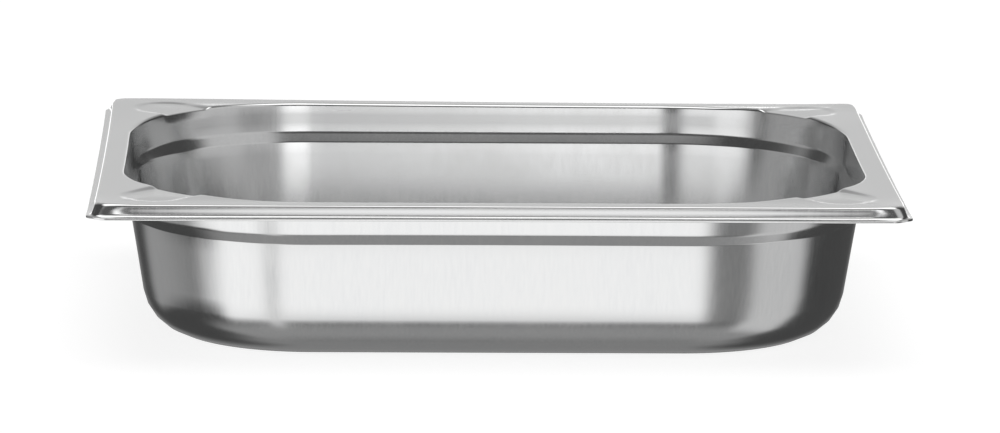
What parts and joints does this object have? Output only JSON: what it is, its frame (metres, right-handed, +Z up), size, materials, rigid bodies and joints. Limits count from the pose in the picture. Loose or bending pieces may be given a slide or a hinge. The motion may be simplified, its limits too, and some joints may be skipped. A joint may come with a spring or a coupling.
{
  "type": "food pan",
  "caption": "Shallow rectangular food pan with a flat flange, turned-down rim, stacking shoulder, wide rounded corners and sloping walls, hung in a deli counter or stood on a worktop.",
  "frame": {"origin": "centre of the flat base, on the surface that the pan stands on", "axes": "+Z up out of the open mouth, X along the long side, Y along the short side"},
  "size_m": [0.325, 0.265, 0.066],
  "materials": {
    "stainless_steel": "satin, fine drawn grain"
  },
  "bodies": {
    "root": {"pan": "stainless_steel"}
  },
  "joints": []
}
